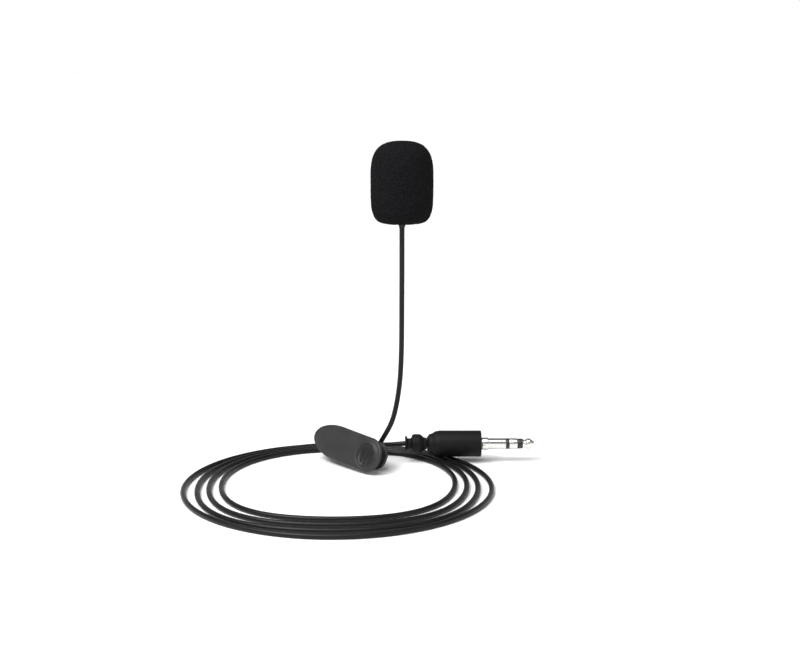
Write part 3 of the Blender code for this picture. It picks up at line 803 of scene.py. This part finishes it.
def make_grille():
    """The perforated front: a ring of six holes round a middle one."""
    outer = [(0.0, 17.0), (BARREL_R - 0.4, 17.0), (BARREL_R, 16.6), (BARREL_R, 15.9), (SPIGOT_R, 15.9),
             (SPIGOT_R, 15.1), (0.0, 15.1)]
    mesh = turned("head_grille", head_profile(outer), HEAD_AXIS, steps=72, round_by=0.15)
    hole = head_profile([(0.0, 20.0), (0.5, 20.0), (0.5, 12.0), (0.0, 12.0)])
    holes = []
    for i in range(7):
        from_axis, angle = (0.0 if i == 6 else 1.8), math.tau * i / 6
        place = Vector((from_axis * math.cos(angle), from_axis * math.sin(angle), 0)) * MM
        cutter_mesh = turned("hole", hole, HEAD_AXIS @ Matrix.Translation(place), steps=24)
        cutter = bpy.data.objects.new("hole", cutter_mesh)
        SCENE.collection.objects.link(cutter)
        holes.append(("DIFFERENCE", cutter))
    piece("head_grille", combined(mesh, *holes), "black_metal", "root", "front_grille", sharp=40)


def make_tail_cap():
    """The barrel's back end, with a hole for the strain relief."""
    profile = [(BARREL_R, 1.4), (BARREL_R, 0.4), (BARREL_R - 0.4, 0.0), (1.2, 0.0), (1.2, 3.0),
               (SPIGOT_R, 3.0), (SPIGOT_R, 1.4)]
    mesh = turned("head_cap", head_profile(profile), HEAD_AXIS, round_by=0.12)
    piece("head_cap", mesh, "black_metal", "root", "head_tail_cap", sharp=40)


def make_head_relief():
    """The rubber strain relief, with a soft waist where the cord leaves it."""
    profile = [(0.0, 4.0), (1.8, 4.0), (1.8, 3.3), (0.95, 3.3), (0.95, -0.3), (1.45, -0.3), (1.4, -0.9),
               (1.0, -1.5), (0.9, -2.2), (0.0, -2.2)]
    mesh = turned("head_relief", head_profile(profile), HEAD_AXIS, steps=64, round_by=0.2)
    piece("head_relief", mesh, "rubber", "root", "head_strain_relief", sharp=60)


# ---------------------------------------------------------------- clip

MOUTH_LENGTH = 12.0
FRONT_LENGTH = 31.3
FRONT_HALF = 5.5
FRONT_AT = (-0.8, -0.35)
REAR_LENGTH = 28.0
REAR_HALF = 4.1
REAR_TAIL_R = 4.4
TEETH = 3
LUG_R = 1.25
EDGE_FILLET = 0.3  # at most, along a jaw's inner face
LEAST_WALL = 0.05  # left straight between a jaw's two rounded edges
OUTER_EASING = 1.0  # how far the corners of a side view are spread
INNER_EASING = 0.4
CROWN_REACH = 3.5
EDGE_STEPS = 7
OUTLINE_POINTS = 200
RIDGE_WIDTH = 0.36  # of the recess's rim and ribs
RIM_HEIGHT = 0.36
RIB_HEIGHT = 0.42
RIB_SPACING = 1.7
# Side views of the jaws' faces, as (x, z)
FRONT_TOP = ((-1.0, 2.05), (6.0, 2.6), (14.0, 3.0), (22.0, 3.15), (29.0, 3.0), (31.0, 2.75))
FRONT_UNDER = ((-1.0, 0.3), (9.0, 0.3), (11.0, 1.5), (31.0, 1.9))
REAR_TOP = ((0.0, -0.55), (8.6, -0.55), (10.6, -1.6), (28.0, -2.65))
REAR_UNDER = ((0.0, -1.65), (6.0, -2.4), (12.0, -2.8), (27.0, -3.75), (28.0, -3.68))


def paddle(length, tail_r, half_width):
    """A jaw's outline in (x, y), anticlockwise from the tail's end: a round tail, straight sides
    and half an ellipse as its mouth."""
    quarter = np.linspace(0, math.pi / 2, 60)
    tail = [(length - tail_r + tail_r * math.cos(a), tail_r * math.sin(a)) for a in quarter]
    mouth = [(MOUTH_LENGTH * (1 - math.sin(a)), half_width * math.cos(a)) for a in quarter]
    half = evenly(tail + mouth, 0.02)
    half = half[:: max(1, len(half) // (OUTLINE_POINTS // 2))]
    whole = half + [(x, -y) for x, y in reversed(half[1:-1])]
    run = sum(math.dist(a, b) for a, b in zip(whole, whole[1:]))
    return np.array(evenly([*whole, whole[0]], run / OUTLINE_POINTS)[:-1])


def outward(outline):
    """Unit normals of an anticlockwise outline, pointing out."""
    run = np.roll(outline, -1, axis=0) - np.roll(outline, 1, axis=0)
    run /= np.linalg.norm(run, axis=1)[:, None]
    return np.stack([run[:, 1], -run[:, 0]], axis=1)


def height_of(points, curve, easing=INNER_EASING):
    """Height of a side view's curve at these points' x, with its corners eased."""
    xs, zs = np.array(curve).T
    offsets = np.linspace(-easing, easing, 9)
    return np.mean([np.interp(points[:, 0] + o, xs, zs) for o in offsets], axis=0)


def crown(points, outline, fall):
    """How far a face falls away near its outline."""
    gaps = np.linalg.norm(points[:, None, :] - outline[None, :, :], axis=2).min(axis=1)
    return fall * (1 - np.minimum(gaps / CROWN_REACH, 1.0)) ** 2


def dish_height(points):
    """The round thumb recess: a shallow bowl, a raised rim, and grip ribs across its floor."""
    x, y = points[:, 0] - DISH_AT[0], points[:, 1] - DISH_AT[1]
    r = np.hypot(x, y)
    bowl = -DISH_DEPTH * np.clip(1 - (r / DISH_R) ** 2, 0, 1) ** 0.55
    rim = np.exp(-(((r - DISH_R - 0.25) / RIDGE_WIDTH) ** 2))
    window = 1 / (1 + np.exp((r - DISH_R * 0.78) / 0.16))
    ribs = sum(np.exp(-(((x - RIB_SPACING * k) / RIDGE_WIDTH) ** 2)) for k in (-1, 0, 1))
    return bowl + RIM_HEIGHT * rim + RIB_HEIGHT * ribs * window


def top_height(points, outline, curve, dish):
    """Height of a jaw's outer face, which falls away near its outline and may hold the recess."""
    height = height_of(points, curve, OUTER_EASING) - crown(points, outline, 0.3 if dish else 0.1)
    return height + dish_height(points) if dish else height


def rings_across(outline, inset, centre, round_r):
    """Rings of points from the centre out to the inset outline. Those up to round_r are circles."""
    angles = np.arctan2(outline[:, 1] - centre[1], outline[:, 0] - centre[0])
    spokes = np.stack([np.cos(angles), np.sin(angles)], axis=1)
    circles = [centre + r * spokes for r in np.linspace(0, round_r, 34)[1:]] if round_r else []
    hub = centre + round_r * spokes
    return circles + [hub + (inset - hub) * share for share in np.linspace(0, 1, 40)[1:-1]]


def jaw_mesh(name, outline, top, under, fillet, centre, dish=False):
    """A jaw as nested rings: its outer face, rounded edges, side wall and inner face."""
    centre, normals = np.array(centre), outward(outline)
    small = min(fillet, EDGE_FILLET)
    quarter = [math.pi / 2 * k / EDGE_STEPS for k in range(EDGE_STEPS + 1)]

    inset = outline - normals * fillet
    level = top_height(inset, outline, top, dish)
    drop = np.minimum(fillet, level - height_of(outline, under) - small - LEAST_WALL)
    layers = [centre[None], *rings_across(outline, inset, centre, DISH_R + 0.6 if dish else 0.0)]
    layers = [(points, top_height(points, outline, top, dish)) for points in layers]
    for a in reversed(quarter):
        layers.append((outline - normals * fillet * (1 - math.cos(a)), level - drop * (1 - math.sin(a))))

    inset = outline - normals * small
    level = height_of(inset, under)
    for a in quarter:
        layers.append((outline - normals * small * (1 - math.cos(a)), level + small * (1 - math.sin(a))))
    inner = [centre + (inset - centre) * share for share in np.linspace(1, 0, 30)[1:-1]]
    layers += [(points, height_of(points, under)) for points in [*inner, centre[None]]]

    rings = [[Vector((x, y, z)) for (x, y), z in zip(points, heights)] for points, heights in layers]
    return ring_mesh(name, rings, CLIP_FRAME @ Matrix.Scale(MM, 4))


def lug_outline(reach):
    """A hinge lug in (x, z) round the pin, running back to its jaw at z = reach."""
    side = LUG_R if reach > 0 else -LUG_R
    angles = np.linspace(0, math.pi, 24)
    arc = [(HINGE_X - side * math.cos(a), -side * math.sin(a)) for a in angles]
    return arc + [(HINGE_X + side, reach), (HINGE_X - side, reach)]


def lug(reach, side):
    """A hinge lug with its hole. Positive reach is up to the front jaw."""
    plate = prism(lug_outline(reach), 0.8, (0, side, 0), 0.08)
    hole = cylinder(0.62, 2, (HINGE_X, side, 0), Matrix.Rotation(math.pi / 2, 4, "X"))
    mesh = combined(plate.data, ("DIFFERENCE", hole))
    bpy.data.objects.remove(plate, do_unlink=True)
    made = bpy.data.objects.new("lug", mesh)
    SCENE.collection.objects.link(made)
    return ("UNION", made)


def make_front_jaw():
    """The jaw with the thumb recess, two lugs and the teeth behind its mouth."""
    outline = paddle(FRONT_LENGTH, FRONT_HALF, FRONT_HALF) + np.array(FRONT_AT)
    mesh = jaw_mesh("clip_front", outline, FRONT_TOP, FRONT_UNDER, 0.7, DISH_AT, dish=True)
    steps = [lug(2.0, side) for side in (-1.85, 1.85)]
    for i in range(TEETH):
        x, width = 1.8 + 1.9 * i, 3.2 + 1.2 * i
        tooth = [(x - 0.5, 0.6), (x, -0.2), (x + 0.5, 0.6)]
        steps.append(("UNION", prism(tooth, width, (0, 0, 0), 0.06)))
    piece("clip_front", combined(mesh, *steps), "clip_plastic", "front_jaw", "clip_front_jaw", sharp=50)


def make_rear_jaw():
    """The jaw with two lugs and the slotted keeper that holds the cord."""
    outline = paddle(REAR_LENGTH, REAR_TAIL_R, REAR_HALF)
    mesh = jaw_mesh("clip_rear", outline, REAR_TOP, REAR_UNDER, 0.3, (16.0, 0.0))
    steps = [lug(-2.1, side) for side in (-2.95, 2.95)]
    keeper = block((KEEPER_LENGTH, 3.8, 3.6), KEEPER_AT + Vector((0, 0, 0.3)), KEEPER_TURN, 0.5)
    along_keeper = Matrix.Rotation(KEEPER_TURN, 4, "Z") @ Matrix.Rotation(math.pi / 2, 4, "Y")
    bore = cylinder(CORD_R / MM + 0.2, 12, KEEPER_AT, along_keeper)
    slot = block((12, 1.1, 3), KEEPER_AT - Vector((0, 0, 1.6)), KEEPER_TURN)
    steps += [("UNION", keeper), ("DIFFERENCE", bore), ("DIFFERENCE", slot)]
    piece("clip_rear", combined(mesh, *steps), "clip_plastic", "root", "clip_rear_jaw", sharp=40)


def make_pin():
    """The hinge pin, with a head at each end."""
    radius, head_r, half, end = 0.5, 0.85, 3.7, 4.1
    upper = [(0.0, end), (head_r, end), (head_r, half), (radius, half)]
    profile = upper + [(r, -height) for r, height in reversed(upper)]
    matrix = CLIP_FRAME @ Matrix.Translation((HINGE_X * MM, 0, 0)) @ Matrix.Rotation(math.pi / 2, 4, "X")
    mesh = turned("hinge_pin", profile, matrix, steps=48, round_by=0.12)
    piece("hinge_pin", mesh, "steel", "root", "clip_hinge_pin", sharp=40)


def make_spring():
    """A torsion spring round the pin. One leg reaches towards the front jaw, the other towards the rear jaw."""
    coil_r, turns, pitch, count = 0.9, 3.5, 0.56, 112
    side = turns / 2 * pitch
    leg_middle, leg_end = HINGE_X + 4.0, HINGE_X + 8.5
    points = [(leg_end, -side, 1.3), (leg_middle, -side, 1.15)]
    for i in range(count + 1):
        angle = math.radians(80) - math.tau * turns * i / count
        across = (i / count - 0.5) * turns * pitch
        points.append((HINGE_X + coil_r * math.cos(angle), across, coil_r * math.sin(angle)))
    points += [(leg_middle, side, -1.45), (leg_end, side, -1.7)]
    route = smooth_route([CLIP_FRAME @ (Vector(p) * MM) for p in points], 0.12 * MM)
    mesh = mesh_of(wire("torsion_spring", route, 0.18 * MM, 4))
    spring = piece("torsion_spring", mesh, "steel", None, "clip_spring")
    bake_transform(spring)


# ---------------------------------------------------------------- plug

# Distances along the plug, from the back of its strain relief
NECK_END = 6.95  # where the strain relief meets the body
BODY_END = 24.4
SLEEVE_END = 32.3
RING_START = 33.35
RING_END = 35.95
TIP_START = 37.6
GAP = 0.05  # between pieces that touch
NECK_R = 1.95
BODY_R = 4.2
PIN_R = 1.75


def make_boot():
    """The ribbed strain relief of the plug."""
    boot = [(0.0, 0.0), (0.0, 2.4), (0.65, 2.4), (0.8, 1.7), (1.9, 1.7), (2.3, 2.8), (3.0, 3.05),
            (4.7, 3.05), (5.4, 2.6), (6.1, NECK_R), (NECK_END, NECK_R), (NECK_END, 0.0)]
    mesh = turned("plug_boot", along(boot), PLUG_AXIS, round_by=0.22)
    return piece("plug_boot", mesh, "plug_moulding", "root", "plug_strain_relief", sharp=60)


def make_plug_body():
    """The hollow moulded body, with a slim neck that meets the strain relief."""
    start = NECK_END + GAP
    outer = [(start, NECK_R), (7.7, 3.0), (8.8, 3.35), (9.6, 3.9), (11.0, BODY_R), (BODY_END, BODY_R)]
    inner = [(BODY_END, 1.95), (21.5, 1.95), (21.5, 3.0), (10.5, 3.0), (9.5, 1.0), (start, 1.0)]
    mesh = turned("plug_shell", along(outer) + along(inner), PLUG_AXIS, steps=128, round_by=0.3)
    return piece("plug_shell", mesh, "plug_moulding", "root", "plug_body", sharp=50)


def band(start, end, radius, bore, shank, back):
    """The profile of a contact or an insulator whose shank runs back inside the plug."""
    outer = [(back, shank), (start + GAP, shank), (start + GAP, radius), (end, radius)]
    return along(outer) + [(bore, back), (bore, end)]


def contact(name, slot, node, profile):
    mesh = turned(name, profile, PLUG_AXIS, steps=72, round_by=0.12)
    return piece(name, mesh, slot, "root", node, sharp=50)


def make_contacts():
    """The pin's sleeve, ring and tip, with an insulator between each two."""
    step, step_end = BODY_END + 0.3, BODY_END + 2.3
    sleeve = [(18.8, 2.6), (20.2, 2.6), (20.2, PIN_R), (step, PIN_R), (step, 2.0), (step_end, 2.0),
              (step_end, PIN_R), (SLEEVE_END, PIN_R)]
    sleeve_bore = [(SLEEVE_END, 1.42), (18.8, 1.42)]
    rear = band(SLEEVE_END, RING_START, 1.72, 1.12, 1.30, 18.0)
    ring = band(RING_START, RING_END, PIN_R, 0.80, 1.00, 16.8)
    front = band(RING_END, TIP_START, 1.60, 0.47, 0.68, 15.6)
    at = TIP_START + GAP
    tip = [(14.2, 0.0), (14.2, 0.35), (at, 0.35), (at, 1.45), (at + 0.7, 1.2), (at + 1.5, 1.7),
           (at + 2.3, 1.7), (at + 3.6, 0.75), (at + 4.0, 0.0)]
    return [
        contact("contact_sleeve", "nickel", "jack_sleeve", along(sleeve) + along(sleeve_bore)),
        contact("spacer_rear", "insulator", "jack_insulator_rear", rear),
        contact("contact_ring", "nickel", "jack_ring", ring),
        contact("spacer_front", "insulator", "jack_insulator_front", front),
        contact("contact_tip", "nickel", "jack_tip", along(tip)),
    ]


# ---------------------------------------------------------------- pieces kept from the CAD model


def dress_cad_nodes():
    """Gives every CAD node its material. Those that no piece replaces are shown as they are."""
    slots = {part["node"]: part["material_slot"] for part in frame["record"]["subparts"]}
    for name, obj in frame["nodes"].items():
        obj.data.materials.clear()
        obj.data.materials.append(MATERIALS[slots[name]])


# ---------------------------------------------------------------- assembly


def main():
    make_camera()
    cord, length = make_cord()
    make_studio()
    make_windscreen()
    make_barrel()
    make_grille()
    make_tail_cap()
    make_head_relief()
    make_front_jaw()
    make_rear_jaw()
    make_pin()
    make_spring()
    plug = [make_boot(), make_plug_body(), *make_contacts()]
    dress_cad_nodes()


main()
